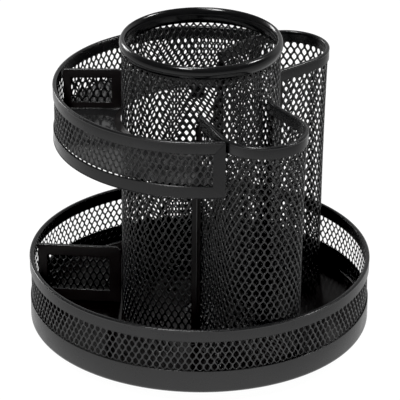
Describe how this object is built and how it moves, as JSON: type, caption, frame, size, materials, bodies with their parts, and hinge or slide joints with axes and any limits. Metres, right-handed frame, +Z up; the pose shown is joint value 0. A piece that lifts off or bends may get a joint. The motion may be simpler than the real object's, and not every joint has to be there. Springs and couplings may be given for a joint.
{
  "type": "rotating desk organizer",
  "caption": "Round rotating desk organizer in expanded metal: low tray, tall middle cup, two lobed cups and a raised half-round shelf on a ball swivel.",
  "frame": {"origin": "on the swivel axis, in the plane the four rubber feet rest on", "axes": "+Z up along the swivel axis; -Y towards the front cup's side, +X towards the gap between the two lobed cups, -X towards the middle of the raised shelf"},
  "size_m": [0.2, 0.2, 0.1836],
  "materials": {
    "coat": "semi-gloss black powder coat on sheet steel",
    "mesh": "semi-gloss black powder coat on expanded steel mesh",
    "steel": "polished bearing steel",
    "zinc": "zinc-plated stamped steel",
    "nylon": "natural nylon",
    "rubber": "matte black rubber"
  },
  "bodies": {
    "base": {"swivel_base_plate": "zinc", "pivot_rivet": "zinc", "foot_1": "rubber", "foot_2": "rubber", "foot_3": "rubber", "foot_4": "rubber"},
    "carousel": {"tray_pan": "coat", "tray_mesh": "mesh", "tray_rim": "coat", "tray_divider_frame": "coat", "tray_divider_mesh": "mesh", "center_cup_mesh": "mesh", "center_cup_rim": "coat", "front_cup_mesh": "mesh", "front_cup_rim": "coat", "front_cup_strip_a": "coat", "front_cup_strip_b": "coat", "back_cup_mesh": "mesh", "back_cup_rim": "coat", "back_cup_strip_a": "coat", "back_cup_strip_b": "coat", "shelf_floor": "coat", "shelf_mesh": "mesh", "shelf_rim": "coat", "shelf_band": "coat", "shelf_end_strip_front": "coat", "shelf_end_strip_back": "coat", "shelf_divider_frame": "coat", "shelf_divider_mesh": "mesh", "swivel_top_plate": "zinc", "pan_rivet_1": "zinc", "pan_rivet_2": "zinc", "pan_rivet_3": "zinc", "pan_rivet_4": "zinc", "pivot_washer": "zinc"},
    "cage": {"ball_cage": "nylon", "ball_01": "steel", "ball_02": "steel", "ball_03": "steel", "ball_04": "steel", "ball_05": "steel", "ball_06": "steel", "ball_07": "steel", "ball_08": "steel", "ball_09": "steel", "ball_10": "steel", "ball_11": "steel", "ball_12": "steel"}
  },
  "joints": [
    {"name": "turntable_spin", "type": "hinge", "parent": "base", "child": "carousel", "pos_m": [0, 0, 0.006], "axis": [0, 0, 1], "continuous": true},
    {"name": "cage_orbit", "type": "hinge", "parent": "base", "child": "cage", "pos_m": [0, 0, 0.0056], "axis": [0, 0, 1], "continuous": true}
  ],
  "couplings": [
    {"joint": "cage_orbit", "follows": "turntable_spin", "ratio": 0.5}
  ]
}
